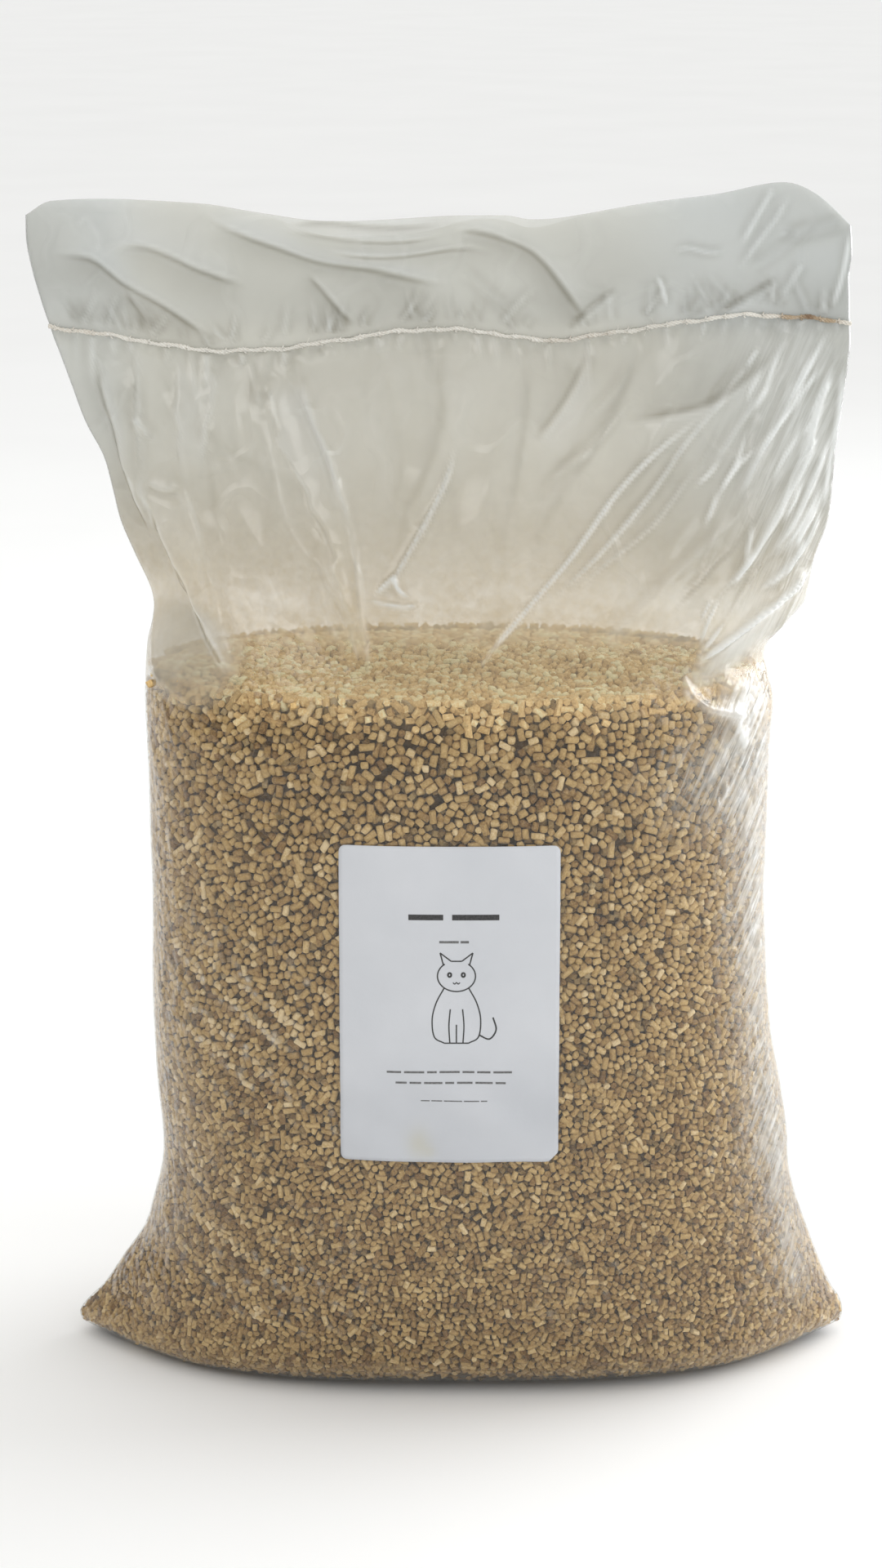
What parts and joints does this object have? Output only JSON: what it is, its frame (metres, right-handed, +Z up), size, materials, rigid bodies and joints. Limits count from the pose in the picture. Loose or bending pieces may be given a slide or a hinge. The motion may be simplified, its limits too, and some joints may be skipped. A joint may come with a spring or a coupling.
{
  "type": "cat litter bag",
  "caption": "Clear film bag of pelleted cat litter, welded at the bottom, sewn shut near the top, with a paper label on the front.",
  "frame": {"origin": "on the floor under the middle of the bag's bounding box", "axes": "+Z up to the sewn mouth, -Y out of the labelled front, +X to the right seen from the front"},
  "size_m": [0.386, 0.1865, 0.5615],
  "materials": {
    "film": "clear film, hazy where it is free of the pellets",
    "pellets": "dry pressed plant pellets, matt",
    "label": "smooth white sticker paper",
    "thread": "off-white spun thread"
  },
  "bodies": {
    "root": {"film_bag": "film", "pellet_fill": "pellets", "paper_label": "label", "looper_thread": "thread", "needle_thread": "thread"}
  },
  "joints": []
}
